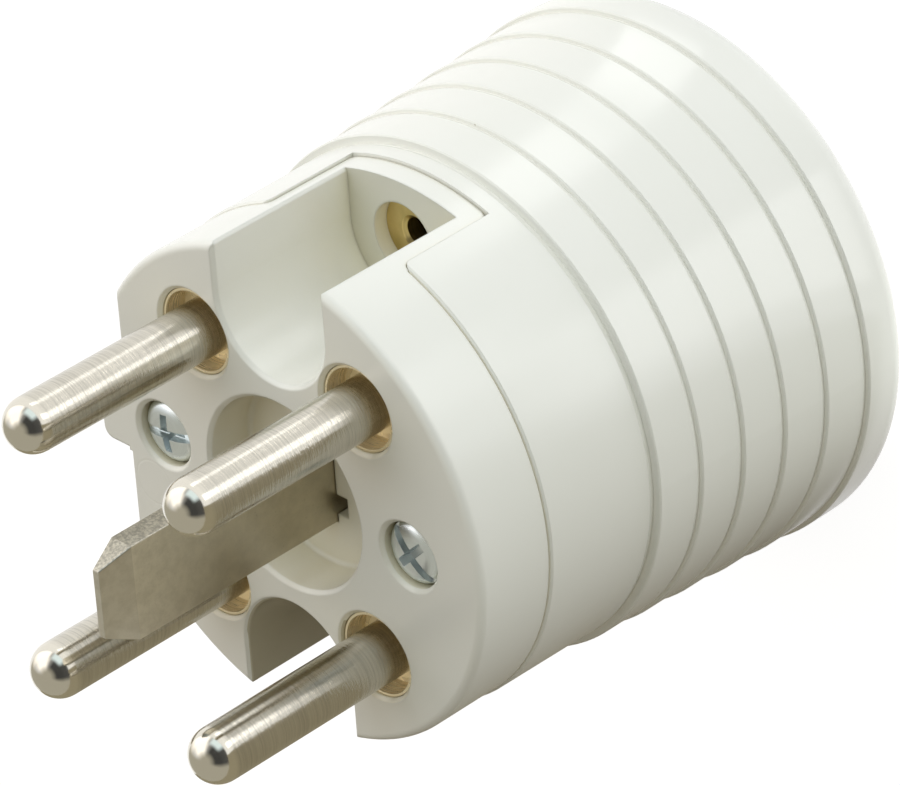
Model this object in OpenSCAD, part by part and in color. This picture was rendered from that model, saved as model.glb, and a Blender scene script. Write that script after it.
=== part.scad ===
// Five-pin three-phase plug, standing on its rear end with the pins up.
// Millimetres. The origin is the centre of the rear end, +Z runs along the pins
// and +Y points to the notch that holds the brass bush.

/* [Body] */
// Radius of the keyed pin face
face_r = 27.3; // [26.9:0.1:28.2]
// Depth of the joint line behind the pin face
seam_depth = 9.6; // [9:0.1:11]
// Depth of the smooth collar that enters the socket
collar_depth = 24.1; // [23:0.1:28]
// Step from the pin face out to the collar of the hood
collar_step = 0.25; // [0.1:0.05:0.5]
// Wall of the hood
hood_wall = 2.6; // [2.2:0.1:2.9]
// Wall of the rear end
rear_wall = 3; // [2:0.1:4]
// Rounding of the edge of the pin face
face_round = 0.9; // [0.4:0.1:1.4]
// Bevel on mouths and joint lines
edge = 0.4; // [0.2:0.05:0.6]

/* [Grip bands] */
// Number of lines turned into the hood
band_count = 6; // [4:1:8]
// Distance from line to line
band_pitch = 5.8; // [5:0.1:7]
// Step from the collar out to the first band
first_step = 0.95; // [0.6:0.05:1.4]
// Growth of the radius from band to band
band_step = 0.35; // [0.15:0.05:0.5]
// Step from the last band out to the rim
rim_step = 0.45; // [0.2:0.05:0.8]
// Height of the rim at the rear end
rim_h = 5.9; // [5:0.1:8]
// Rounding of the rim
rim_round = 2.2; // [1:0.1:2.8]
// Width of a line
groove_w = 0.3; // [0.2:0.05:0.6]
// Width of the line behind the collar
first_groove_w = 0.5; // [0.3:0.05:0.9]
// Depth of a line
groove_d = 0.15; // [0.1:0.05:0.4]

/* [Key] */
// Wall between a screw head and the key flat
flat_wall = 1.75; // [1.2:0.05:2.4]
// Rounding between the flat and the round face
flat_corner = 3; // [1.5:0.1:4]
// Half width of the key rib
key_half = 3.5; // [2.5:0.1:4]
// Height of the key rib above the flat
key_h = 3.6; // [2.8:0.1:4]
// Rounding of the key rib
key_corner = 1.2; // [0.6:0.1:1.6]

/* [Notches] */
// Wall between a notch and the wells beside it
notch_wall = 0.8; // [0.6:0.05:1.4]
// Wall between the floor of a notch and the recess
notch_land = 2.6; // [2:0.1:3.4]
// Depth of a notch behind the pin face
notch_len = 18.7; // [17:0.1:20]
// Wall beside a notch
tab_wall = 1.9; // [1.5:0.1:2.1]
// Rounding of a tab's corners
tab_round = 0.8; // [0.4:0.1:1.2]
// Wall at the end of a notch
end_wall = 2.7; // [2.4:0.1:3.2]
// Radius of the round hole in front of the bush
bush_seat_r = 4.1; // [3.8:0.05:4.3]
// Depth of the bush behind the end wall's face
bush_depth = 1.7; // [1:0.1:1.8]
// Radius of the bush
bush_r = 2.9; // [2.6:0.05:3.2]
// Wall round the bush
bush_wall = 1.15; // [0.9:0.05:1.4]
// Bore of the bush
bush_bore_r = 1.55; // [1.2:0.05:1.8]
// Length of the bush behind its flange
bush_len = 6.4; // [4:0.1:8]

/* [Pins] */
// Radius of a pin
pin_r = 3; // [2.7:0.05:3.2]
// Length of a pin ahead of the face
pin_len = 24.5; // [20:0.5:30]
// Distance from the circle of the pins to the edge of the face
pin_margin = 8.93; // [8.3:0.01:9.4]
// Distance of a pin from the axis, along X
pin_x = 11.4; // [10.8:0.1:12]
// Radius of the well round a pin
well_r = 4.73; // [4.4:0.05:4.8]
// Depth of the well round a pin
well_depth = 3.6; // [2.5:0.1:5]
// Shoulder from the pin down to its neck
pin_shoulder = 0.8; // [0.5:0.05:1]
// Thickness of the washer under a pin
washer_t = 0.8; // [0.5:0.05:1.2]
// Wall of the brass cup that lines a well
cup_wall = 0.3; // [0.2:0.05:0.4]
// Depth of the cup's rim under the pin face
cup_depth = 0.5; // [0.45:0.05:0.9]

/* [Earth blade] */
// Height of the blade
blade_h = 10.9; // [9:0.1:11.5]
// Thickness of the blade
blade_t = 2.8; // [2.4:0.1:3.2]
// Length of the blade ahead of the face
blade_len = 25; // [20:0.5:30]
// Height of the nose of the blade
nose_h = 7.8; // [6:0.1:8.5]
// Thickness of the nose of the blade
nose_t = 0.8; // [0.4:0.1:1.5]
// Length of the bevels at the nose
bevel_len = 3.6; // [2:0.1:5]
// Wall between the wells and the recess round the blade
recess_land = 3.04; // [2.4:0.02:3.8]
// Depth of the recess round the blade
recess_depth = 5.7; // [5:0.1:6.5]
// Rounding round the floor of the recess
recess_round = 0.5; // [0.3:0.1:1]

/* [Terminals] */
// Radius of a terminal
term_r = 4.4; // [4:0.05:4.5]
// Length of a terminal
term_len = 13; // [11:0.5:15]
// Radius of a conductor hole
wire_r = 2.3; // [1.8:0.1:2.5]
// Depth of a conductor hole
wire_depth = 7.6; // [6:0.1:8]
// Radius of a clamping screw
m4_r = 1.95; // [1.7:0.05:2]

/* [Hood screws] */
// Wall between the recess and a screw head
screw_land = 3.15; // [2.4:0.05:3.8]
// Radius of a hood screw's shank
screw_r = 1.75; // [1.5:0.05:1.9]
// Radius of a hood screw's head
head_r = 3.55; // [3.3:0.05:3.7]
// Height of a hood screw's head
head_h = 2.3; // [1.8:0.1:2.6]
// Length of a hood screw's shank
screw_len = 26; // [22:1:28]
// Radius of a post in the hood
post_r = 4.2; // [3.8:0.1:4.4]
// Radius of a threaded insert in a post
nut_r = 2.7; // [2.5:0.05:3]
// Length of a threaded insert
nut_len = 8; // [6:0.5:10]

/* [Cord inlet] */
// Radius of the cord hole in the grommet
cord_r = 5.8; // [5:0.1:6.6]
// Wall of the grommet round the cord
grommet_wall = 2.6; // [2:0.1:3.2]
// Reach of the grommet's flanges over the rear wall
grommet_lip = 2.4; // [1.6:0.1:3]
// Thickness of the grommet's flanges
grommet_t = 1.3; // [1:0.1:1.4]
// Depth of the dish in the rear end
dish_depth = 1.6; // [1.5:0.1:2.2]

/* [Cord clamp] */
// Thickness of the clamp's sheet steel
sheet = 1.5; // [1:0.1:1.8]
// Room round the cord in the clamp
cord_room = 1; // [0.5:0.1:1.4]
// Length of the clamp along the cord
clamp_l = 8; // [7:0.5:10]
// Gap between the grommet and the clamp
clamp_gap = 1.6; // [1:0.1:3]
// Gap between the arch and a clamp screw's head
ear_gap = 0.3; // [0.2:0.05:0.8]

/* [Fits] */
// Clearance round a shank, a spigot or a blade
fit = 0.2; // [0.1:0.05:0.3]
// Clearance of a thread or a pressed neck
thread_fit = 0.05; // [0.03:0.01:0.1]
// Gap round a hood screw's head
head_gap = 0.1; // [0.05:0.05:0.2]
// Gap round a notch's tab in the hood
tab_gap = 0.12; // [0.05:0.01:0.2]

/* [Hidden] */
$fn = 96;
eps = 0.01;

// Heights of the body
face_z = collar_depth + (band_count - 1) * band_pitch + rim_h;
seam_z = face_z - seam_depth;
collar_z = face_z - collar_depth;
notch_z = face_z - notch_len;
tab_z = notch_z - end_wall;

// Radii of the hood
collar_r = face_r + collar_step;
bore_r = collar_r - hood_wall;
spigot_r = bore_r - fit;
spigot_wall = 1.4;
spigot_h = 7;
spigot_inner_r = spigot_r - spigot_wall;
band_r = collar_r + first_step;
rim_r = band_r + (band_count - 2) * band_step + rim_step;
rear_bore_r = rim_r - hood_wall - rim_step;
floor_z = rear_wall + dish_depth;
inlet_r = cord_r + grommet_wall;
grommet_r = inlet_r + grommet_lip;
dish_r = grommet_r + 1;
post_web = 2.4;

// Layout of the pin face, from its edge inwards
pin_circle_r = face_r - pin_margin;
pin_y = sqrt(pow(pin_circle_r, 2) - pow(pin_x, 2));
recess_r = pin_circle_r - well_r - recess_land;
screw_x = recess_r + screw_land + head_r + head_gap;
flat_x = screw_x + head_r + head_gap + flat_wall;
key_reach = flat_x + key_h;
inner_flat_x = flat_x + collar_step - hood_wall;

// Notches, each as wide as the wells beside it allow, and the bush below the hood's bore
notch_floor = recess_r + notch_land;
well_reach = well_r + notch_wall;
floor_drop = pin_y - notch_floor;
notch_r = (pow(pin_x, 2) + pow(floor_drop, 2) - pow(well_reach, 2)) / (2 * (well_reach + floor_drop));
notch_y = notch_floor + notch_r;
tab_half = notch_r + tab_wall;
bush_z = notch_z - bush_depth;
bush_flange = 0.7;
bush_boss_r = bush_r + bush_wall;
bush_y = spigot_r - bush_boss_r;

// Pins and terminals
neck_r = pin_r - pin_shoulder;
well_z = face_z - well_depth;
pin_z = well_z + washer_t;
neck_end_z = seam_z - 4.2;
term_z = seam_z - term_len;
term_screw_z = term_z + 3.4;
pin_places = [[-pin_x, pin_y], [pin_x, pin_y], [pin_x, -pin_y], [-pin_x, -pin_y]];

// Earth stack behind the insert: shoulders, plate, foot of the clamp frame
shoulder_half = 7;
shoulder_h = 3.5;
shoulder_z = seam_z - shoulder_h;
plate_t = 2;
plate_half_x = 8.8;
plate_half_y = 7.5;
plate_z = shoulder_z - plate_t;
foot_z = plate_z - sheet;
tail_half = 4;
earth_post_x = 6.5;
earth_post_r = 2.8;
m3_r = 1.45;
m3_head_r = 2.7;
m3_head_h = 2;
m3_grip = 1.5;
earth_z = foot_z - m3_head_h - 5.4;
tail_z = earth_z - 4.6;
earth_washer_t = 1.2;
earth_washer_half = 4;
earth_head_r = 3.6;
earth_head_h = 2.4;

// Cord clamp, with its legs outside the arch's inner radius
arch_r = cord_r + cord_room;
leg_y = arch_r + sheet;
clamp_z = floor_z + grommet_t + clamp_gap;
leg_half = 3.5;
seat_x = -2;
clamp_head_r = 2.8;
clamp_head_h = 2.2;
clamp_screw_y = leg_y + ear_gap + clamp_head_r;
ear_y = clamp_screw_y + clamp_head_r;

function line_z(k) = collar_z - (k - 1) * band_pitch;
function radius_before(k) = k == 1 ? collar_r + collar_step / 2 : band_r + (k - 2) * band_step;
function radius_after(k) = k == band_count ? rim_r : band_r + (k - 1) * band_step;
function line_width(k) = k == 1 ? first_groove_w : groove_w;

// One turned line, from the band in front of it to the larger band behind it
function line_points(k) = let (
    z = line_z(k),
    a = radius_before(k),
    b = radius_after(k),
    w = line_width(k)
) [
    [a, z + w + groove_d],
    [a - groove_d / 2, z + w],
    [a - groove_d, z + w / 2],
    [a - groove_d, z],
    [b - groove_d, z],
    [b, z - groove_d]
];

// Rectangle with round corners, centred
module rounded_rect(half_x, half_y, r) {
    square([2 * half_x, 2 * (half_y - r)], center = true);
    square([2 * (half_x - r), 2 * half_y], center = true);
    for (x = [-1, 1], y = [-1, 1])
        translate([x * (half_x - r), y * (half_y - r)]) circle(r);
}

// Key rib on the flat side, grown by g
module rib_outline(g) {
    reach = key_reach + g;
    half = key_half + g;
    root = flat_x - 2;
    translate([-reach, key_corner - half]) square([reach - root, 2 * (half - key_corner)]);
    translate([key_corner - reach, -half]) square([reach - key_corner - root, 2 * half]);
    for (s = [-1, 1])
        translate([key_corner - reach, s * (half - key_corner)]) circle(key_corner);
}

// What the flat side takes away from a round outline, grown by g
module key_cut(g) {
    far = 2 * face_r;
    flat = flat_x + g;
    centre_x = flat_corner - flat;
    centre_y = sqrt(pow(face_r + g - flat_corner, 2) - pow(centre_x, 2));
    lean = [centre_x, centre_y] / norm([centre_x, centre_y]);
    difference() {
        translate([-flat - far, -far]) square([far, 2 * far]);
        rib_outline(g);
    }
    for (s = [0, 1])
        mirror([0, s]) translate([centre_x, centre_y]) difference() {
            polygon([[0, 0], [-2 * flat_corner, 0], 2 * flat_corner * lean]);
            circle(flat_corner);
        }
}

// Outline of a notch with half width r, open outwards
module notch_outline(r) {
    translate([0, notch_y]) circle(r);
    translate([-r, notch_y]) square([2 * r, face_r]);
}

// A notch with bevels at its mouth and along its outer edges
module notch_space() {
    edge_y = sqrt(pow(face_r, 2) - pow(notch_r, 2));
    translate([0, 0, notch_z]) linear_extrude(notch_len + 1) notch_outline(notch_r);
    translate([0, notch_y, face_z - edge])
        cylinder(h = edge + eps, r1 = notch_r, r2 = notch_r + edge + eps);
    translate([0, notch_y, face_z - edge]) rotate([-90, 0, 0]) linear_extrude(face_r)
        polygon(both_sides([[notch_r, 0], [notch_r + edge, -edge - eps]]));
    for (s = [-1, 1])
        translate([s * notch_r, edge_y, notch_z]) rotate([0, 0, 45]) linear_extrude(notch_len + 1)
            square(1.2 * edge, center = true);
}

// Tab round a notch, flush with the pin face's rim, with its back corners cut
module notch_tab() {
    top = seam_z - tab_z + 1;
    brow = 0.3 * tab_round;
    side = [[tab_half, top], [tab_half, tab_round], [tab_half - brow, brow], [tab_half - tab_round, 0]];
    translate([0, 0, tab_z]) intersection() {
        linear_extrude(top) intersection() {
            notch_outline(tab_half + eps);
            circle(face_r);
        }
        translate([0, face_r, 0]) rotate([90, 0, 0]) linear_extrude(2 * face_r) polygon(both_sides(side));
    }
}

// Hollow corners between the joint line and the two sides of a tab, g away from it
module tab_corners(g) {
    for (s = [0, 1]) mirror([s, 0, 0])
        translate([tab_half + g, notch_y, seam_z]) rotate([-90, 0, 0]) linear_extrude(face_r) difference() {
            translate([0, -edge]) square([tab_round, tab_round + edge]);
            translate([tab_round, tab_round]) circle(tab_round);
        }
}

// Recess round the blade, with a rounded edge to its floor
module recess_space() {
    flat_r = recess_r - recess_round;
    mouth(recess_r, recess_depth - recess_round, face_z);
    translate([0, 0, face_z - recess_depth]) {
        cylinder(h = recess_depth, r = flat_r);
        rotate_extrude() translate([flat_r, recess_round]) circle(recess_round);
    }
}

// Hole with a bevelled mouth, sunk from height z
module mouth(r, depth, z) {
    translate([0, 0, z - depth]) cylinder(h = depth + 1, r = r);
    translate([0, 0, z - edge]) cylinder(h = edge + eps, r1 = r, r2 = r + edge + eps);
}

// Round plate of the insert with its rounded front edge
module face_disc() {
    rotate_extrude() {
        polygon([[0, seam_z], [face_r - edge / 2, seam_z], [face_r, seam_z + edge / 2],
            [face_r, face_z - face_round], [face_r - face_round, face_z], [0, face_z]]);
        translate([face_r - face_round, face_z - face_round]) circle(face_round);
    }
}

// Ring that centres the insert in the hood, open at the flat and round the posts
module spigot() {
    translate([0, 0, seam_z - spigot_h]) linear_extrude(spigot_h + eps) difference() {
        circle(spigot_r);
        circle(spigot_inner_r);
        translate([-2 * face_r - screw_x, -face_r]) square(2 * face_r);
        for (s = [-1, 1]) translate([s * screw_x, 0]) circle(post_r + fit);
    }
}

module front_insert() {
    color("ivory") difference() {
        union() {
            difference() {
                face_disc();
                translate([0, 0, seam_z - 1]) linear_extrude(seam_depth + 2) key_cut(0);
                for (s = [-1, 1])
                    translate([-flat_x, s * (key_half + flat_x / 2 + edge), face_z]) rotate([0, 45, 0])
                        cube([1.4 * edge, flat_x, 1.4 * edge], center = true);
            }
            for (s = [0, 1]) mirror([0, s, 0]) {
                notch_tab();
                intersection() {
                    tab_corners(0);
                    translate([0, 0, tab_z]) cylinder(h = collar_depth, r = face_r);
                }
            }
            spigot();
            translate([0, bush_y, bush_z - bush_flange - bush_len])
                cylinder(h = bush_len + bush_flange, r = bush_boss_r);
            for (s = [-1, 1])
                translate([s * earth_post_x, 0, shoulder_z])
                    cylinder(h = shoulder_h + eps, r = earth_post_r);
        }
        for (s = [0, 1]) mirror([0, s, 0]) notch_space();
        recess_space();
        blade_slot();
        for (p = pin_places) translate(p) {
            mouth(well_r, well_depth, face_z);
            translate([0, 0, seam_z - 1]) cylinder(h = seam_depth, r = neck_r + thread_fit);
            translate([0, 0, term_z - 1]) cylinder(h = term_len + 1, r = term_r + fit);
        }
        for (s = [-1, 1]) translate([s * screw_x, 0]) {
            mouth(head_r + head_gap, head_h + edge / 2, face_z);
            translate([0, 0, seam_z - 1]) cylinder(h = seam_depth, r = screw_r + fit);
        }
        translate([0, bush_y, bush_z - bush_flange]) cylinder(h = end_wall + eps, r = bush_seat_r);
        translate([0, bush_y, tab_z - bush_len - 2]) cylinder(h = bush_len + 3, r = bush_r + thread_fit);
        for (s = [-1, 1])
            translate([s * earth_post_x, 0, shoulder_z - 1])
                cylinder(h = shoulder_h + m3_grip + 1.5, r = m3_r + thread_fit);
    }
}

// Slot for the blade in the floor of the recess, with the small relief beside it
module blade_slot() {
    relief_w = 1.6;
    relief_h = 2.3;
    translate([0, 0, seam_z - 1]) linear_extrude(seam_depth) {
        square([blade_t + fit, blade_h + fit], center = true);
        translate([0, -blade_h / 2 + 1]) square([blade_t / 2 + relief_w, relief_h]);
    }
}

// Outer form of the hood: collar, stepped bands and rounded rim
module hood_form() {
    lines = [for (k = [1:band_count]) each line_points(k)];
    rim_centre = rim_r - rim_round;
    union() {
        rotate_extrude() polygon(concat(
            [[0, seam_z], [collar_r - edge / 2, seam_z], [collar_r, seam_z - edge / 2]],
            lines,
            [[rim_r, rim_round], [rim_centre, rim_round], [rim_centre, 0], [0, 0]]
        ));
        rotate_extrude() translate([rim_centre, rim_round]) circle(rim_round);
    }
}

// Space inside the hood, flattened behind the key flat
module hood_space() {
    corner = 2;
    step_r = dish_r + rear_wall;
    difference() {
        rotate_extrude() polygon([[0, seam_z + 1], [bore_r, seam_z + 1], [bore_r, collar_z],
            [rear_bore_r, rear_wall + corner], [rear_bore_r - corner, rear_wall],
            [step_r + dish_depth, rear_wall], [step_r, floor_z], [0, floor_z]]);
        translate([-3 * face_r - inner_flat_x, -face_r, collar_z - rear_wall])
            cube([3 * face_r, 2 * face_r, face_z]);
    }
}

// Post for a hood screw, with a web to the wall below the spigot
module hood_post() {
    web_top = seam_z - spigot_h - fit;
    translate([screw_x, 0, -1]) cylinder(h = seam_z + 1, r = post_r);
    translate([screw_x, -post_web / 2, -1]) cube([rim_r, post_web, web_top + 1]);
}

module hood() {
    color("ivory") difference() {
        hood_form();
        difference() {
            hood_space();
            for (s = [0, 1]) mirror([s, 0, 0]) hood_post();
        }
        translate([0, 0, collar_z + first_groove_w + groove_d])
            linear_extrude(collar_depth) key_cut(collar_step);
        for (s = [0, 1]) mirror([0, s, 0]) {
            tab_corners(tab_gap);
            translate([0, 0, tab_z - tab_gap])
                linear_extrude(collar_depth) notch_outline(tab_half + tab_gap);
        }
        for (s = [-1, 1]) translate([s * screw_x, 0, seam_z]) {
            translate([0, 0, -nut_len]) cylinder(h = nut_len + 1, r = nut_r + thread_fit);
            translate([0, 0, -screw_len]) cylinder(h = screw_len, r = screw_r + fit);
        }
        translate([0, 0, -1]) cylinder(h = dish_depth + 1, r = dish_r);
        translate([0, 0, -1]) cylinder(h = floor_z + 2, r = inlet_r);
    }
}

// Round pin with a domed tip, a shoulder on its washer and a neck into the terminal
module pin(place) {
    tip_z = face_z + pin_len - pin_r;
    color("silver") translate(place) {
        translate([0, 0, pin_z]) cylinder(h = tip_z - pin_z, r = pin_r);
        translate([0, 0, tip_z]) sphere(pin_r);
        translate([0, 0, neck_end_z]) cylinder(h = pin_z - neck_end_z + eps, r = neck_r);
    }
}

module pin_l1() { pin(pin_places[0]); }
module pin_l2() { pin(pin_places[1]); }
module pin_l3() { pin(pin_places[2]); }
module pin_n() { pin(pin_places[3]); }

// Stepped cup washers, one lining each well
module pin_washers() {
    rim_z = well_depth - cup_depth;
    low = washer_t * 0.6;
    outer = well_r - thread_fit;
    inner = outer - cup_wall;
    boss = (pin_r + inner) / 2;
    bore = neck_r + thread_fit;
    color("goldenrod") for (p = pin_places) translate([p.x, p.y, well_z]) rotate_extrude()
        polygon([[bore, 0], [outer, 0], [outer, rim_z], [inner, rim_z], [inner, low], [boss, low],
            [boss, washer_t], [bore, washer_t]]);
}

// Turned terminal with a socket for the pin, a conductor hole and a screw hole facing outwards
module terminal(place) {
    color("goldenrod") translate([place.x, place.y, term_z]) difference() {
        cylinder(h = term_len, r = term_r);
        translate([0, 0, neck_end_z - term_z - fit]) cylinder(h = term_len, r = neck_r + thread_fit);
        translate([0, 0, -1]) cylinder(h = wire_depth + 1, r = wire_r);
        translate([0, 0, term_screw_z - term_z]) rotate([0, sign(place.x) * 90, 0])
            cylinder(h = term_r + 1, r = m4_r + thread_fit);
    }
}

module terminal_l1() { terminal(pin_places[0]); }
module terminal_l2() { terminal(pin_places[1]); }
module terminal_l3() { terminal(pin_places[2]); }
module terminal_n() { terminal(pin_places[3]); }

// Slotted screws that clamp the conductors, ending inside the spigot's ring
module terminal_screws() {
    tip = 1.4;
    slot_w = 0.7;
    slot_d = 1;
    end_x = sqrt(pow(spigot_inner_r - fit, 2) - pow(pin_y + m4_r, 2));
    length = end_x - pin_x - tip;
    color("silver") for (p = pin_places)
        translate([p.x, p.y, term_screw_z]) rotate([0, sign(p.x) * 90, 0]) difference() {
            translate([0, 0, tip]) cylinder(h = length, r = m4_r);
            translate([-2 * m4_r, -slot_w / 2, tip + length - slot_d])
                cube([4 * m4_r, slot_w, 2 * slot_d]);
        }
}

// Flat blade with shoulders behind the floor of the recess and a tapped tail
module earth_blade() {
    tip_z = face_z + blade_len;
    side = [[tail_half, tail_z], [tail_half, shoulder_z], [shoulder_half, shoulder_z],
        [shoulder_half, seam_z], [blade_h / 2, seam_z], [blade_h / 2, tip_z - bevel_len],
        [nose_h / 2, tip_z]];
    edge_on = [[blade_t / 2, tail_z], [blade_t / 2, tip_z - bevel_len], [nose_t / 2, tip_z]];
    color("lightgray") difference() {
        intersection() {
            rotate([90, 0, 90]) linear_extrude(blade_t, center = true) polygon(both_sides(side));
            rotate([90, 0, 0]) linear_extrude(4 * shoulder_half, center = true)
                polygon(both_sides(edge_on));
        }
        translate([0, 0, earth_z]) rotate([0, 90, 0])
            cylinder(h = 2 * blade_t, r = m4_r + thread_fit, center = true);
    }
}

// A half outline and its mirror image, as one closed outline
function both_sides(half) = concat(half, [for (i = [len(half) - 1:-1:0]) [-half[i].x, half[i].y]]);

// Plate that holds the shoulders of the blade against the insert
module earth_plate() {
    color("goldenrod") translate([0, 0, plate_z]) linear_extrude(plate_t) difference() {
        rounded_rect(plate_half_x, plate_half_y, 1.5);
        square([blade_t + fit, 2 * tail_half + fit], center = true);
        for (s = [-1, 1]) translate([s * earth_post_x, 0]) circle(m3_r + fit);
    }
}

// Pan-head screw along +Z, head down, with a slot
module pan_screw(shank_r, length, r, h) {
    difference() {
        union() {
            cylinder(h = length, r = shank_r);
            translate([0, 0, -h]) cylinder(h = h * 0.4, r1 = r * 0.8, r2 = r);
            translate([0, 0, -h * 0.6]) cylinder(h = h * 0.6, r = r);
        }
        translate([-r - 1, -0.4, -h - 1]) cube([2 * r + 2, 0.8, 1 + h * 0.4]);
    }
}

module earth_screw() {
    head_x = blade_t / 2 + earth_washer_t;
    color("silver") translate([head_x, 0, earth_z]) rotate([0, -90, 0])
        pan_screw(m4_r, head_x + blade_t / 2 + 2, earth_head_r, earth_head_h);
}

module earth_washer() {
    color("silver") translate([blade_t / 2, 0, earth_z]) rotate([0, 90, 0]) linear_extrude(earth_washer_t)
        difference() {
            rounded_rect(earth_washer_half, earth_washer_half, 0.8);
            circle(m4_r + fit);
        }
}

module plate_screws() {
    length = seam_z + m3_grip - foot_z;
    color("silver") for (s = [-1, 1])
        translate([s * earth_post_x, 0, foot_z]) pan_screw(m3_r, length, m3_head_r, m3_head_h);
}

// Pan-head screws with a slot and a cross, seen on the pin face
module hood_screws() {
    seat_z = face_z - edge / 2 - head_h;
    turns = [7, -45];
    slot_w = 1;
    slot_depth = 0.9;
    cross_w = 0.9;
    cross_depth = 1.4;
    cross_l = 1.2 * head_r;
    side_h = 0.55 * head_h;
    brow_r = 0.9 * head_r;
    crown_r = 0.62 * head_r;
    reach = seat_z - seam_z + screw_len - 1;
    color("silver") for (i = [0, 1]) translate([(2 * i - 1) * screw_x, 0, seat_z]) difference() {
        union() {
            translate([0, 0, -reach]) cylinder(h = reach + eps, r = screw_r);
            cylinder(h = side_h, r = head_r);
            translate([0, 0, side_h]) cylinder(h = 0.25 * head_h, r1 = head_r, r2 = brow_r);
            translate([0, 0, 0.8 * head_h]) cylinder(h = 0.2 * head_h, r1 = brow_r, r2 = crown_r);
        }
        rotate(turns[i]) {
            translate([-head_r - 1, -slot_w / 2, head_h - slot_depth])
                cube([2 * head_r + 2, slot_w, 2 * slot_depth]);
            for (a = [0, 90]) rotate(a)
                translate([-cross_l / 2, -cross_w / 2, head_h - cross_depth])
                    cube([cross_l, cross_w, 2 * cross_depth]);
        }
    }
}

// Threaded inserts pressed into the posts, each with two grip grooves
module hood_nuts() {
    color("goldenrod") for (s = [-1, 1]) translate([s * screw_x, 0, seam_z - nut_len]) difference() {
        cylinder(h = nut_len, r = nut_r);
        translate([0, 0, -1]) cylinder(h = nut_len + 2, r = screw_r + thread_fit);
        for (z = [0.3, 0.6]) translate([0, 0, z * nut_len]) difference() {
            cylinder(h = nut_len * 0.1, r = nut_r + 1);
            translate([0, 0, -1]) cylinder(h = nut_len, r = nut_r - 0.3);
        }
    }
}

// Flanged brass bush behind the round hole of the upper notch
module notch_bush() {
    color("goldenrod") translate([0, bush_y, bush_z - bush_flange]) difference() {
        union() {
            cylinder(h = bush_flange, r = bush_seat_r - thread_fit);
            translate([0, 0, -bush_len]) cylinder(h = bush_len + eps, r = bush_r);
        }
        translate([0, 0, -bush_len - 1]) cylinder(h = bush_len + bush_flange + 2, r = bush_bore_r);
        translate([0, 0, bush_flange - edge])
            cylinder(h = edge + eps, r1 = bush_bore_r, r2 = bush_bore_r + edge);
    }
}

// Folded frame: foot on the earth plate, two legs, and a saddle with ears at the inlet
module clamp_frame() {
    saddle_x = seat_x - arch_r * 0.75;
    foot_round = 1;
    color("silver") difference() {
        union() {
            translate([0, 0, foot_z]) linear_extrude(sheet) {
                rounded_rect(plate_half_x, tail_half + sheet, foot_round);
                square([2 * leg_half, 2 * leg_y], center = true);
            }
            for (s = [0, 1]) mirror([0, s, 0]) {
                translate([-leg_half, leg_y - sheet, clamp_z + clamp_l])
                    cube([2 * leg_half, sheet, foot_z - clamp_z - clamp_l + eps]);
                translate([saddle_x, leg_y - sheet, clamp_z])
                    cube([seat_x - saddle_x, sheet, clamp_l + eps]);
                translate([seat_x - sheet, leg_y - eps, clamp_z])
                    cube([sheet, ear_y - leg_y, clamp_l]);
            }
            translate([saddle_x, -leg_y, clamp_z]) cube([sheet, 2 * leg_y, clamp_l]);
        }
        translate([0, 0, foot_z - 1]) linear_extrude(sheet + 2) {
            square([blade_t + 1, 2 * tail_half + 1], center = true);
            for (s = [-1, 1]) translate([s * earth_post_x, 0]) circle(m3_r + fit);
        }
        for (s = [-1, 1]) translate([seat_x, s * clamp_screw_y, clamp_z + clamp_l / 2]) rotate([0, 90, 0])
            cylinder(h = 4 * sheet, r = m4_r + thread_fit, center = true);
    }
}

// Arched bar across the cord, with its ends on the ears
module clamp_bar() {
    color("silver") translate([seat_x, 0, clamp_z]) difference() {
        linear_extrude(clamp_l) difference() {
            union() {
                intersection() {
                    circle(leg_y);
                    translate([0, -leg_y]) square(2 * leg_y);
                }
                translate([0, -ear_y]) square([sheet, 2 * ear_y]);
            }
            circle(arch_r);
        }
        for (s = [-1, 1]) translate([0, s * clamp_screw_y, clamp_l / 2]) rotate([0, 90, 0])
            cylinder(h = 4 * sheet, r = m4_r + fit, center = true);
    }
}

module clamp_screws() {
    color("silver") for (s = [-1, 1])
        translate([seat_x + sheet, s * clamp_screw_y, clamp_z + clamp_l / 2]) rotate([0, -90, 0])
            pan_screw(m4_r, 6 * sheet, clamp_head_r, clamp_head_h);
}

// Rubber ring with a groove for the rear wall
module inlet_grommet() {
    neck = inlet_r - thread_fit;
    low = dish_depth - grommet_t;
    high = floor_z + grommet_t;
    color("dimgray") rotate_extrude() polygon([[cord_r, low + edge], [cord_r + edge, low],
        [grommet_r - edge, low], [grommet_r, low + edge], [grommet_r, dish_depth], [neck, dish_depth],
        [neck, floor_z], [grommet_r, floor_z], [grommet_r - edge, high], [cord_r + edge, high],
        [cord_r, high - edge]]);
}

front_insert();
hood();
pin_l1();
pin_l2();
pin_l3();
pin_n();
pin_washers();
terminal_l1();
terminal_l2();
terminal_l3();
terminal_n();
terminal_screws();
earth_blade();
earth_plate();
earth_screw();
earth_washer();
plate_screws();
hood_screws();
hood_nuts();
notch_bush();
clamp_frame();
clamp_bar();
clamp_screws();
inlet_grommet();
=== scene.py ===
import math

import bmesh
import bpy
from mathutils import Matrix, Vector


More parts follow.
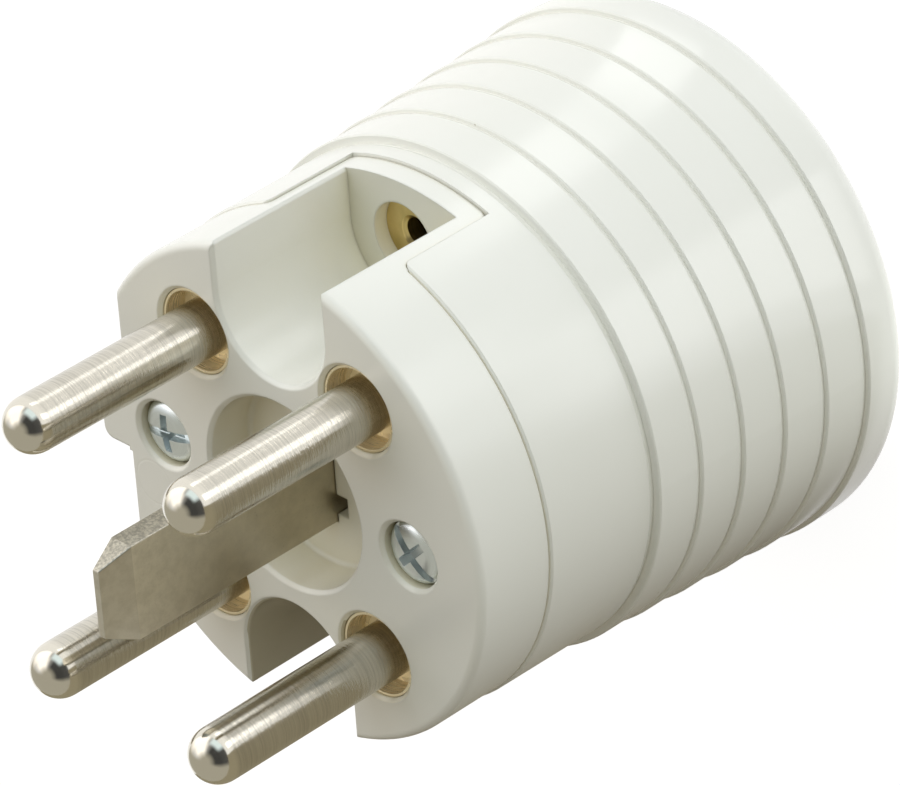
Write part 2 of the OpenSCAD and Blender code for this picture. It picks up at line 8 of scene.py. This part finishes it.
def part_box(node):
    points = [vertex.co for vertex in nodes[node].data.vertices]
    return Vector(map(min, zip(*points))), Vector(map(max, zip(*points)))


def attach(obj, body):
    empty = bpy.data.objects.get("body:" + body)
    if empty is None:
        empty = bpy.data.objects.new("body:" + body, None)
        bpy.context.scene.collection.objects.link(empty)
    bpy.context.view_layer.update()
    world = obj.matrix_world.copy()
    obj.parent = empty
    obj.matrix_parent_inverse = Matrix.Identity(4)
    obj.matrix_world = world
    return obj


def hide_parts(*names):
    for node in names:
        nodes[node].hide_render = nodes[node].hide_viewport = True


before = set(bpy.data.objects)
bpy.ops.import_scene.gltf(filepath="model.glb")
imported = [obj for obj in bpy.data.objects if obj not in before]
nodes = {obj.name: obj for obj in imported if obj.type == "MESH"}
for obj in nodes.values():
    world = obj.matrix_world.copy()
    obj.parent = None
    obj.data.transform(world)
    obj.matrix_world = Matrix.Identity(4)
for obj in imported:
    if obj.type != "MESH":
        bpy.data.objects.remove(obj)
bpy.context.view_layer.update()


# Camera. A long lens looks down on the pins from the side of the bushed notch, turned so that
# the plug lies across the picture as it does when it rests on its side.
view_right = Vector((0.71157, -0.05974, -0.70004))
view_up = Vector((-0.33642, 0.84576, -0.41413))
view_back = Vector((0.6168, 0.5302, 0.58175))
stand = Vector((0.40437, 0.34807, 0.41684))
film_width = 36
picture_width = 900
focal_pixels = 6490.51
lens = bpy.data.cameras.new("camera")
lens.sensor_fit = "HORIZONTAL"
lens.sensor_width = film_width
lens.lens = focal_pixels * film_width / picture_width
lens.clip_start = 0.01
camera = bpy.data.objects.new("camera", lens)
camera.matrix_world = Matrix((
    (view_right.x, view_up.x, view_back.x, stand.x),
    (view_right.y, view_up.y, view_back.y, stand.y),
    (view_right.z, view_up.z, view_back.z, stand.z),
    (0, 0, 0, 1)))
bpy.context.scene.collection.objects.link(camera)
bpy.context.scene.camera = camera
bpy.context.scene.view_settings.view_transform = "Standard"


# Floor. A wide sheet of pale paper that the plug stands on. It is white to the eye and in the
# gloss of the plug, and it keeps a soft shadow; the light that it throws up differs by side.
class Shader:
    """A node tree that is put together by short calls."""

    def __init__(self, tree):
        self.tree = tree
        self.tree.nodes.clear()

    def node(self, kind, inputs=None, **settings):
        made = self.tree.nodes.new("ShaderNode" + kind)
        for key, value in settings.items():
            setattr(made, key, value)
        for key, value in (inputs or {}).items():
            self.put(made.inputs[key], value)
        return made

    def put(self, socket, value):
        if isinstance(value, bpy.types.Node):
            value = value.outputs[0]
        if isinstance(value, bpy.types.NodeSocket):
            self.tree.links.new(value, socket)
        else:
            socket.default_value = value

    def math(self, operation, *values):
        made = self.node("Math", operation=operation)
        for i, value in enumerate(values):
            self.put(made.inputs[i], value)
        return made

    def ramp(self, fac, *stops):
        made = self.node("ValToRGB", {"Fac": fac})
        elements = made.color_ramp.elements
        while len(elements) < len(stops):
            elements.new(1.0)
        for element, (place, shade) in zip(elements, stops):
            element.position = place
            colour = shade if isinstance(shade, tuple) else (shade, shade, shade)
            element.color = (*colour, 1)
        return made

    def mix(self, fac, a, b, blend="MIX"):
        made = self.node("Mix", data_type="RGBA", blend_type=blend)
        for key, value in ((0, fac), (6, a), (7, b)):
            self.put(made.inputs[key], (*value, 1) if isinstance(value, tuple) else value)
        return made.outputs[2]

    def noise(self, vector, scale, detail=2.0, roughness=0.5):
        return self.node("TexNoise", {"Vector": vector, "Scale": scale, "Detail": detail,
                                      "Roughness": roughness})

    def stretch(self, vector, scale):
        return self.node("Mapping", {"Vector": vector, "Scale": scale})

    def split(self, vector):
        return self.node("SeparateXYZ", {"Vector": vector}).outputs

    def rise(self, value, low, high, start=0.0, end=1.0):
        """Climbs from start to end while the value goes from low to high."""
        return self.node("MapRange", {"Value": value, "From Min": low, "From Max": high,
                                      "To Min": start, "To Max": end}).outputs[0]


def new_material(name):
    made = bpy.data.materials.new(name)
    made.use_nodes = True
    return made, Shader(made.node_tree)


def compass(look, x, y):
    """Turns a direction on the table into 0 to 1 round the circle: 0.5 is +X, 0.75 is +Y."""
    return look.math("ADD", look.math("DIVIDE", look.math("ARCTAN2", y, x), 2 * math.pi), 0.5)


def seen_rays(look):
    """1 for rays that show the background: to the camera, in gloss and through glass."""
    path = look.node("LightPath").outputs
    mirrored = look.math("MAXIMUM", path["Is Glossy Ray"], path["Is Transmission Ray"])
    return look.math("MAXIMUM", path["Is Camera Ray"], mirrored)


paper, look = new_material("floor_paper")
at = look.split(look.node("TexCoord").outputs["Object"])
shaded = (0.06, 0.065, 0.07)
spread = look.ramp(
    compass(look, at["X"], at["Y"]),
    (0.0, 0.5), (0.083, shaded), (0.333, shaded), (0.417, (0.34, 0.31, 0.27)),
    (0.5, (1.3, 1.33, 1.28)), (0.583, 1.05), (0.667, 0.96), (0.75, 0.66),
    (0.833, (0.77, 0.77, 0.7)), (0.917, 0.87), (1.0, 0.5))
glow = look.node("Emission", {"Color": spread, "Strength": 1.0})
white = look.node("Emission", {"Color": (1, 1, 1, 1), "Strength": 0.92})
shadow = look.node("BsdfDiffuse", {"Color": (0.25, 0.25, 0.25, 1)})
seen = look.node("AddShader", {0: white, 1: shadow})
both = look.node("MixShader", {0: seen_rays(look), 1: glow, 2: seen})
look.node("OutputMaterial", {"Surface": both})

half_side = 4.0
sheet = bpy.data.meshes.new("floor")
sheet.from_pydata([(-half_side, -half_side, 0), (half_side, -half_side, 0),
                   (half_side, half_side, 0), (-half_side, half_side, 0)], [], [(0, 1, 2, 3)])
floor = bpy.data.objects.new("floor", sheet)
floor.data.materials.append(paper)
bpy.context.scene.collection.objects.link(floor)


# Light. A soft room that is brighter on the side of the bushed notch, with a pale backdrop and
# two large soft boxes. Dark cards and flat lamps lie on the table, out of the picture; only the
# gloss of the metal and of the white moulding shows them.
world = bpy.data.worlds.new("room")
world.use_nodes = True
bpy.context.scene.world = world
look = Shader(world.node_tree)
towards = look.split(look.node("TexCoord").outputs["Generated"])
turn = compass(look, towards["X"], towards["Y"])
warm_wall, dim_wall = (1.18, 1.0, 0.93), (0.09, 0.1, 0.11)
walls = look.ramp(
    turn, (0.0, warm_wall), (0.083, (0.14, 0.15, 0.16)), (0.167, dim_wall), (0.417, dim_wall),
    (0.5, (0.33, 0.26, 0.18)), (0.583, (0.95, 0.95, 0.72)), (0.667, (0.94, 1.05, 1.0)),
    (0.75, (1.4, 1.55, 1.68)), (0.833, (1.96, 1.94, 1.9)), (0.917, (1.98, 1.8, 1.67)),
    (1.0, warm_wall))
warm_ceiling = (0.9, 0.85, 0.78)
ceiling = look.ramp(
    turn, (0.0, warm_ceiling), (0.25, (0.3, 0.21, 0.07)), (0.5, 0.0), (0.75, (0.95, 1.0, 0.96)),
    (1.0, warm_ceiling))
spread_light = look.mix(look.rise(towards["Z"], 0.35, 0.75), walls, ceiling)

khaki, dark, darker = (0.46, 0.44, 0.37), 0.08, 0.06
cool_box, warm_box, beside_box = (0.95, 1.12, 1.2), (1.7, 1.65, 1.6), (1.2, 1.16, 1.1)
boxes = look.ramp(
    turn, (0.0, beside_box), (0.04, khaki), (0.44, khaki), (0.49, dark), (0.625, dark),
    (0.67, cool_box), (0.765, cool_box), (0.795, 0.5), (0.825, warm_box), (0.96, warm_box),
    (1.0, beside_box))
box_top = (1.6, 1.55, 1.5)
upper = look.ramp(
    turn, (0.0, 0.8), (0.04, khaki), (0.43, khaki), (0.49, darker), (0.715, darker),
    (0.765, 0.35), (0.82, box_top), (0.94, box_top), (1.0, 0.8))
room = look.mix(look.rise(towards["Z"], 0.34, 0.54), boxes, upper)
room = look.mix(look.rise(towards["Z"], 0.8, 0.97), room, khaki)
room = look.mix(look.rise(towards["Z"], 0.03, 0.07), (1.0, 1.0, 1.0), room)
lit = look.node("Background", {"Color": look.mix(seen_rays(look), spread_light, room),
                               "Strength": 1.0})
look.node("OutputWorld", {"Surface": lit})

mm = 0.001


def table_card(name, first, last, near, far, rise, shader, colour, **more):
    """A card or lamp on the table between two directions in degrees and two distances in mm."""
    made, look = new_material(name)
    made.cycles.emission_sampling = "NONE"
    look.node("OutputMaterial", {"Surface": look.node(shader, {"Color": (*colour, 1), **more})})
    steps = 24
    lift = 0.3
    turns = [math.radians(first + (last - first) * k / steps) for k in range(steps + 1)]
    mesh = bpy.data.meshes.new(name)
    mesh.from_pydata([(r * mm * math.cos(a), r * mm * math.sin(a), z * mm) for a in turns
                      for r, z in ((near, lift), (far, lift + rise))], [],
                     [(2 * k, 2 * k + 1, 2 * k + 3, 2 * k + 2) for k in range(steps)])
    mesh.materials.append(made)
    card = bpy.data.objects.new(name, mesh)
    card.visible_camera = card.visible_diffuse = card.visible_shadow = False
    bpy.context.scene.collection.objects.link(card)


card_brown = (0.5, 0.46, 0.35)
for name, first, last, near, far, rise in (
        ("dark_card_hood", -130, 8, 34, 92, 0),
        ("dark_card_pins", -130, 20, 92, 3500, 400)):
    table_card(name, first, last, near, far, rise, "BsdfDiffuse", card_brown)
for name, first, last, near, far, strength in (
        ("strip_lamp_hood", 16, 42, 34, 92, 2.1),
        ("strip_lamp_pins", 37, 57, 93, 400, 2.1),
        ("pane_lamp_rear", 80, 102, 35, 48, 2.5),
        ("pane_lamp_front", 80, 102, 54, 92, 2.5),
        ("pane_lamp_pins", 99, 111, 93, 400, 1.9)):
    table_card(name, first, last, near, far, 0, "Emission", (1, 1, 1), Strength=strength)


def dress(node, *materials):
    """Gives a CAD node its finished materials, slot by slot."""
    slots = nodes[node].data.materials
    slots.clear()
    for made in materials:
        slots.append(made)
    return nodes[node]


def soften(thing, width, segments=2, angle=30):
    """Rounds the sharp edges of a piece, as a mould or a tumbling drum does."""
    weld = thing.modifiers.new("weld", "WELD")
    weld.merge_threshold = 0.002 * mm
    bevel = thing.modifiers.new("rounded edges", "BEVEL")
    bevel.width = width
    bevel.segments = segments
    bevel.limit_method = "ANGLE"
    bevel.angle_limit = math.radians(angle)


def white_moulding(name, edge, crease_reach, painted_crease_tone, painted_crease_level, hollow_reach=None,
                   painted_shade_box=None, painted_shelf_box=None, mark=None):
    """The white compound; its creases take a painted tone (painted light on the hood, painted
    shade on the insert), an insert gets painted shade in its hollows and notches, and it shows a
    mould mark.
    """
    pale_white, full_white = (0.868, 0.873, 0.832), (0.88, 0.884, 0.846)
    speck, hollow_painted_shade = (0.45, 0.42, 0.33), (0.97, 0.91, 0.75)
    deep_painted_shade, pale_painted_shade = (0.64, 0.59, 0.47), (0.72, 0.67, 0.55)
    shelf_painted_shade = (0.78, 0.78, 0.74)
    made, look = new_material(name)
    where = look.node("TexCoord").outputs["Object"]
    cloud = look.noise(where, 90, 3)
    base = look.mix(look.ramp(cloud, (0.3, 0.0), (0.7, 1.0)), pale_white, full_white)
    cells = look.node("TexVoronoi", {"Vector": where, "Scale": 170.0}).outputs
    chance = look.node("SeparateColor", {"Color": cells["Color"]})
    picked = look.ramp(chance, (0.8, 0.0), (0.82, 1.0))
    dot = look.ramp(cells["Distance"], (0.012, 1.0), (0.03, 0.0))
    base = look.mix(look.math("MULTIPLY", picked, dot), base, speck)
    # Occlusion finds the creases and paints them towards painted_crease_tone: painted light where
    # that is paler than the compound, painted shade where it is darker.
    crease = look.node("AmbientOcclusion", {"Distance": crease_reach}, samples=4)
    painted_crease_mask = look.ramp(crease.outputs["AO"], (0.3, 1.0), (0.8, 0.0))
    base = look.mix(look.math("MULTIPLY", painted_crease_mask, painted_crease_level), base, painted_crease_tone)
    # Painted shade: deep occlusion darkens the hollows to a warm cream.
    if hollow_reach:
        hollow = look.node("AmbientOcclusion", {"Distance": hollow_reach}, samples=4)
        hollow_shade_mask = look.ramp(hollow.outputs["AO"], (0.3, 1.0), (0.9, 0.0))
        base = look.mix(hollow_shade_mask, base, hollow_painted_shade, "MULTIPLY")
    # Painted shade: everything in a box round the lower notch is darkened, unevenly.
    if painted_shade_box:
        half_x, below_y, below_z = painted_shade_box
        at = look.split(where)
        painted_shade_mask = look.math("LESS_THAN", look.math("ABSOLUTE", at["X"]), half_x)
        painted_shade_mask = look.math("MULTIPLY", painted_shade_mask, look.math("LESS_THAN", at["Y"], below_y))
        painted_shade_mask = look.math("MULTIPLY", painted_shade_mask, look.math("LESS_THAN", at["Z"], below_z))
        notch_painted_shade = look.mix(look.noise(where, 300, 4), deep_painted_shade, pale_painted_shade)
        base = look.mix(painted_shade_mask, base, notch_painted_shade, "MULTIPLY")
    # Painted shade: faces that look up, deep in the upper notch, are darkened.
    if painted_shelf_box:
        above_y, below_z = painted_shelf_box
        at = look.split(where)
        facing = look.split(look.node("NewGeometry").outputs["Normal"])["Z"]
        painted_shade_mask = look.math("GREATER_THAN", at["Y"], above_y)
        painted_shade_mask = look.math("MULTIPLY", painted_shade_mask, look.math("LESS_THAN", at["Z"], below_z))
        painted_shade_mask = look.math("MULTIPLY", painted_shade_mask, look.math("GREATER_THAN", facing, 0.7))
        base = look.mix(painted_shade_mask, base, shelf_painted_shade, "MULTIPLY")
    rough = look.rise(look.noise(where, 420, 4, 0.6), 0.0, 1.0, 0.2, 0.29)
    skin = look.node("Bump", {"Height": look.noise(where, 1500, 3), "Strength": 0.03,
                              "Distance": 0.02 * mm})
    wave = look.node("Bump", {"Height": look.noise(where, 60, 2), "Strength": 0.03,
                              "Distance": 0.1 * mm, "Normal": skin})
    if mark:
        x, y, radius = mark
        away = look.node("VectorMath", {0: look.stretch(where, (1, 1, 0)), 1: (x, y, 0)},
                         operation="DISTANCE").outputs["Value"]
        ring = look.math("ABSOLUTE", look.math("SUBTRACT", away, radius))
        ring = look.rise(ring, 0.05 * mm, 0.16 * mm)
        wave = look.node("Bump", {"Height": ring, "Strength": 0.35, "Distance": 0.04 * mm,
                                  "Normal": wave})
    round_edge = look.node("Bevel", {"Radius": edge, "Normal": wave}, samples=3)
    surface = look.node("BsdfPrincipled", {
        "Base Color": base, "Roughness": rough, "Normal": round_edge, "IOR": 1.58,
        "Specular IOR Level": 0.65})
    look.node("OutputMaterial", {"Surface": surface})
    return made


# Painted light: the hood's grooves, found by occlusion, are lightened towards this near-white.
groove_painted_light = (1.0, 0.99, 0.945)
hood_white = white_moulding("hood_white", edge=0.1 * mm, crease_reach=0.7 * mm,
                            painted_crease_tone=groove_painted_light, painted_crease_level=0.95)
dress("hood", hood_white)


# Front insert. The keyed pin carrier, moulded in the same white compound as the hood, with the
# two U notches, the wells and the round recess. An ejector has left a faint ring on its face. Its
# creases, hollows, lower notch and the end wall of the upper notch carry painted shade.
# Painted shade: the insert's creases, found by occlusion, are darkened towards this grey.
crease_painted_shade = (0.42, 0.40, 0.28)
insert_white = white_moulding(
    "insert_white", edge=0.35 * mm, crease_reach=1.2 * mm, painted_crease_tone=crease_painted_shade,
    painted_crease_level=0.28, hollow_reach=9 * mm, painted_shade_box=(7.6 * mm, -12 * mm, 58.8 * mm),
    painted_shelf_box=(12 * mm, 41 * mm), mark=(-19.5 * mm, -6.5 * mm, 2.5 * mm))
dress("front_insert", insert_white)


# Notch bush. A flanged brass bush pressed in behind the round hole of the upper notch; bare, and
# a little browned by age.
def toned(colour, part):
    """The same colour, darker or lighter."""
    return tuple(part * c for c in colour)


def turned_metal(name, colour, dull, bright, ring_shade, jags, stain=(0.5, 0.5, 0.5), stained=0.0,
                 metal=1.0, tip=None):
    """Metal with fine tool rings round the upright axis; above tip it is polished."""
    made, look = new_material(name)
    where = look.node("TexCoord").outputs["Object"]
    ring = look.noise(look.stretch(where, (60, 60, 4600)), 1, 4, 0.7)
    jag = look.noise(look.stretch(where, (1100, 1100, 6400)), 1, 2, 0.6)
    cloud = look.noise(where, 260, 3)
    rings = look.ramp(ring, (0.36, 0.0), (0.58, 1.0))
    tint = look.mix(rings, toned(colour, ring_shade), colour)
    clouded = look.ramp(cloud, (0.4, 0.0), (0.65, 1.0))
    tint = look.mix(look.math("MULTIPLY", clouded, stained), tint, stain)
    wear = look.math("ADD", look.math("MULTIPLY", ring, 0.6), look.math("MULTIPLY", cloud, 0.4))
    rough = look.rise(wear, 0.3, 0.7, dull, bright)
    if tip:
        polish, polished_rough, blend = 1.16, 0.13, 0.4 * mm
        domed = look.rise(look.split(where)["Z"], tip - blend, tip + blend)
        tint = look.mix(domed, tint, toned(colour, polish))
        rough = look.node("Mix", {0: domed, 2: rough, 3: polished_rough}, data_type="FLOAT")
        jags = look.math("MULTIPLY", look.math("SUBTRACT", 1.0, domed), jags)
    scratched = look.node("Bump", {"Height": jag, "Strength": jags, "Distance": 0.02 * mm})
    surface = look.node("BsdfPrincipled", {"Base Color": tint, "Metallic": metal,
                                           "Roughness": rough, "Normal": scratched})
    look.node("OutputMaterial", {"Surface": surface})
    return made


brass = turned_metal("bare_brass", (0.70, 0.56, 0.25), dull=0.4, bright=0.24, ring_shade=0.8,
                     jags=0.4, stain=(0.4, 0.31, 0.1), stained=0.55)
dress("notch_bush", brass)


# Cup washers. Drawn brass cups that line the wells, one under the shoulder of each pin; their thin
# rims show round the pins.
cup_brass = turned_metal("cup_brass", (1.0, 0.88, 0.62), dull=0.34, bright=0.2, ring_shade=0.92,
                         jags=0.3, stain=(0.92, 0.74, 0.44), stained=0.35, metal=0.5)
soften(dress("pin_washers", cup_brass), width=0.06 * mm)


# Pins. Turned brass rods with bright nickel plating; tool rings run round the shank and the domed
# tip is polished.
nickel = turned_metal("pin_nickel", (0.65, 0.62, 0.545), dull=0.24, bright=0.12, ring_shade=0.8,
                      jags=1.4, tip=80.5 * mm)
for pin in ("pin_l1", "pin_l2", "pin_l3", "pin_n"):
    dress(pin, nickel)


# Terminals. Turned brass cylinders on the tails of the pins, behind the insert; each has a
# slotted, zinc-plated screw that clamps its wire.
zinc = turned_metal("zinc_plating", (0.82, 0.88, 0.90), dull=0.36, bright=0.24, ring_shade=0.9,
                    jags=0.3)
for terminal in ("terminal_l1", "terminal_l2", "terminal_l3", "terminal_n"):
    dress(terminal, brass)
dress("terminal_screws", zinc)


# Earth blade. Stamped from thick brass sheet and dull-plated; the sheared edges stay dark and
# grainy, the plating grows lighter towards the end that goes into the socket, and the nose facets
# there carry painted shade.
def stamped_metal(name, colour, edge_colour, dull, bright, tip_colour=None):
    """Sheet metal with rolled flat sides and grainy sheared edges that face along Y."""
    made, look = new_material(name)
    where = look.node("TexCoord").outputs["Object"]
    grain = look.noise(look.stretch(where, (1500, 1500, 250)), 1, 4, 0.6)
    pit = look.noise(where, 3000, 3, 0.6)
    cloud = look.noise(where, 160, 4, 0.6)
    normal = look.split(look.node("NewGeometry").outputs["Normal"])
    sheared = look.ramp(look.math("ABSOLUTE", normal["Y"]), (0.6, 0.0), (0.8, 1.0))
    clouded = look.ramp(cloud, (0.35, 0.0), (0.7, 1.0))
    flat = look.mix(clouded, toned(colour, 0.82), colour)
    flat = look.mix(look.ramp(pit, (0.66, 0.0), (0.74, 0.6)), flat, toned(colour, 0.5))
    pitted = look.ramp(pit, (0.4, 0.0), (0.62, 1.0))
    torn = look.mix(pitted, toned(edge_colour, 0.62), edge_colour)
    if tip_colour:
        # Lighter towards the end, from 68 to 82 mm up.
        tip_start, tip_end = 68 * mm, 82 * mm
        towards_tip = look.rise(look.split(where)["Z"], tip_start, tip_end)
        flat = look.mix(towards_tip, flat, tip_colour)
        # Painted shade: the nose facets, picked by their facing, are darker than the flat sides
        # beside them.
        facet_shade_mask = look.ramp(look.math("ABSOLUTE", normal["Z"]), (0.1, 0.0), (0.2, 1.0))
        flat = look.mix(facet_shade_mask, flat, toned(tip_colour, 0.8))
        smear = look.ramp(look.noise(where, 700, 5, 0.7), (0.35, 0.25), (0.6, 0.0))
        flat = look.mix(smear, flat, toned(colour, 0.6))
    tint = look.mix(sheared, flat, torn)
    wear = look.math("ADD", look.math("MULTIPLY", grain, 0.5), look.math("MULTIPLY", cloud, 0.5))
    rough = look.rise(wear, 0.3, 0.7, bright, dull)
    rolled = look.node("Bump", {"Height": grain, "Strength": 0.12, "Distance": 0.02 * mm})
    rough_edge = look.node("Bump", {"Height": pit, "Normal": rolled, "Distance": 0.06 * mm,
                                    "Strength": look.math("MULTIPLY", sheared, 0.3)})
    surface = look.node("BsdfPrincipled", {"Base Color": tint, "Metallic": 1.0,
                                           "Roughness": rough, "Normal": rough_edge})
    look.node("OutputMaterial", {"Surface": surface})
    return made


blade_plate = stamped_metal("blade_plating", (0.61, 0.555, 0.425), edge_colour=(0.66, 0.63, 0.54),
                            dull=0.44, bright=0.3, tip_colour=(0.88, 0.84, 0.74))
soften(dress("earth_blade", blade_plate), width=0.12 * mm)


# Earth terminal. A brass plate traps the blade's shoulders; a pan-head screw with a square washer
# takes the earth wire, and two small screws hold the plate to the insert.
brass_sheet = stamped_metal("brass_sheet", (0.76, 0.57, 0.30), edge_colour=(0.6, 0.46, 0.26),
                            dull=0.42, bright=0.28)
dress("earth_plate", brass_sheet)
for piece in ("earth_screw", "earth_washer", "plate_screws"):
    dress(piece, zinc)


# Hood screws. Two zinc-plated pan-head screws with a slot and a cross, which go through the insert
# into threaded brass inserts in the posts of the hood.
def revolve(name, outline, place, turns=96):
    """A turned solid from (radius, height) points in mm, lowest first, round an upright axis."""
    mesh = bpy.data.meshes.new(name)
    work = bmesh.new()
    rows = []
    for r, z in outline:
        if r == 0:
            rows.append([work.verts.new((0, 0, z * mm))] * turns)
            continue
        rows.append([work.verts.new((r * mm * math.cos(2 * math.pi * k / turns),
                                     r * mm * math.sin(2 * math.pi * k / turns), z * mm))
                     for k in range(turns)])
    for low, high in zip(rows, rows[1:]):
        for k in range(turns):
            corners = [low[k], low[(k + 1) % turns], high[(k + 1) % turns], high[k]]
            work.faces.new(list(dict.fromkeys(corners)))
    work.to_mesh(mesh)
    work.free()
    made = bpy.data.objects.new(name, mesh)
    made.location = Vector(place) * mm
    bpy.context.scene.collection.objects.link(made)
    return made


def wedge(name, length, width, taper, depth, top, turn):
    """A cutter that narrows downwards, for one arm of a recess; sizes in mm."""
    over = 1.0
    grow = taper * over / depth
    levels = ((length - 2 * taper, width - taper, top - depth),
              (length + 2 * grow, width + grow, top + over))
    mesh = bpy.data.meshes.new(name)
    mesh.from_pydata([(x * long * mm / 2, y * wide * mm / 2, z * mm) for long, wide, z in levels
                      for x, y in ((-1, -1), (1, -1), (1, 1), (-1, 1))], [],
                     [(3, 2, 1, 0), (4, 5, 6, 7), (0, 1, 5, 4), (1, 2, 6, 5), (2, 3, 7, 6),
                      (3, 0, 4, 7)])
    made = bpy.data.objects.new(name, mesh)
    made.rotation_euler.z = math.radians(turn)
    bpy.context.scene.collection.objects.link(made)
    return made


def carve(thing, cutters):
    """Takes the cutters away from a piece and keeps the result as its mesh."""
    for cutter in cutters:
        cutter.location = thing.location
        bite = thing.modifiers.new("carve", "BOOLEAN")
        bite.object = cutter
        bite.solver = "EXACT"
    bpy.context.view_layer.update()
    cut = thing.evaluated_get(bpy.context.evaluated_depsgraph_get())
    result = bpy.data.meshes.new_from_object(cut)
    thing.modifiers.clear()
    thing.data = result
    for cutter in cutters:
        bpy.data.objects.remove(cutter)


def smooth(thing, angle):
    thing.data.shade_smooth()
    thing.data.set_sharp_from_angle(angle=math.radians(angle))


head_low, head_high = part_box("hood_screws")
screw_x = 17.4
head_height = 2.3
seat = head_high[2] / mm - head_height
shank = seat - head_low[2] / mm
pitch = 0.7
point = 0.6
plain_shank = 9
thread_root, thread_crest = 1.36, 1.74
thread = [(0, -shank), (1.1, -shank), (1.35, -shank + point)]
for k in range(int((shank - plain_shank) / pitch)):
    start = -shank + point + k * pitch
    thread += [(thread_root, start + 0.15 * pitch), (thread_crest, start + 0.45 * pitch),
               (thread_crest, start + 0.55 * pitch), (thread_root, start + 0.85 * pitch)]
pan = [(1.5, -8.2), (1.7, -7.9), (1.7, -0.2), (1.75, 0), (3.38, 0), (3.5, 0.1), (3.55, 0.35),
       (3.55, 0.75), (3.51, 1.1), (3.4, 1.4), (3.18, 1.66), (2.85, 1.88), (2.4, 2.06), (1.8, 2.19),
       (1.1, 2.27), (0.5, head_height), (0, head_height)]
cross = {"length": 4.3, "width": 1.0, "taper": 0.35, "depth": 1.5, "top": head_height}
for side, x, turn in (("left", -screw_x, 7), ("right", screw_x, -45)):
    screw = revolve(f"hood_screw_{side}", thread + pan, (x, 0, seat))
    carve(screw, [wedge("slot", length=9, width=1.05, taper=0.12, depth=0.95, top=head_height,
                        turn=turn),
                  wedge("cross_a", turn=turn, **cross),
                  wedge("cross_b", turn=turn + 90, **cross)])
    smooth(screw, angle=30)
    soften(screw, width=0.05 * mm, angle=35)
    screw.data.materials.clear()
    screw.data.materials.append(zinc)
    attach(screw, "root")
    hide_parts("hood_screws")
dress("hood_nuts", brass)


# Cord clamp. A folded steel frame with a saddle, an arched bar across it and two screws, all
# zinc-plated; it holds the cord inside the hood.
steel_sheet = stamped_metal("steel_sheet", (0.66, 0.69, 0.71), edge_colour=(0.5, 0.5, 0.5),
                            dull=0.4, bright=0.26)
for piece in ("clamp_frame", "clamp_bar"):
    dress(piece, steel_sheet)
dress("clamp_screws", zinc)


# Inlet grommet. A ring moulded in black rubber with a dull grain, pushed into the hole in the
# rear end of the hood.
rubber, look = new_material("grommet_rubber")
where = look.node("TexCoord").outputs["Object"]
grain = look.noise(where, 1800, 3)
worn_black, full_black = (0.06, 0.06, 0.06), (0.035, 0.035, 0.036)
surface = look.node("BsdfPrincipled", {
    "Base Color": look.mix(look.noise(where, 200, 3), full_black, worn_black),
    "Roughness": look.rise(grain, 0.0, 1.0, 0.5, 0.75),
    "Normal": look.node("Bump", {"Height": grain, "Strength": 0.2, "Distance": 0.05 * mm})})
look.node("OutputMaterial", {"Surface": surface})
dress("inlet_grommet", rubber)
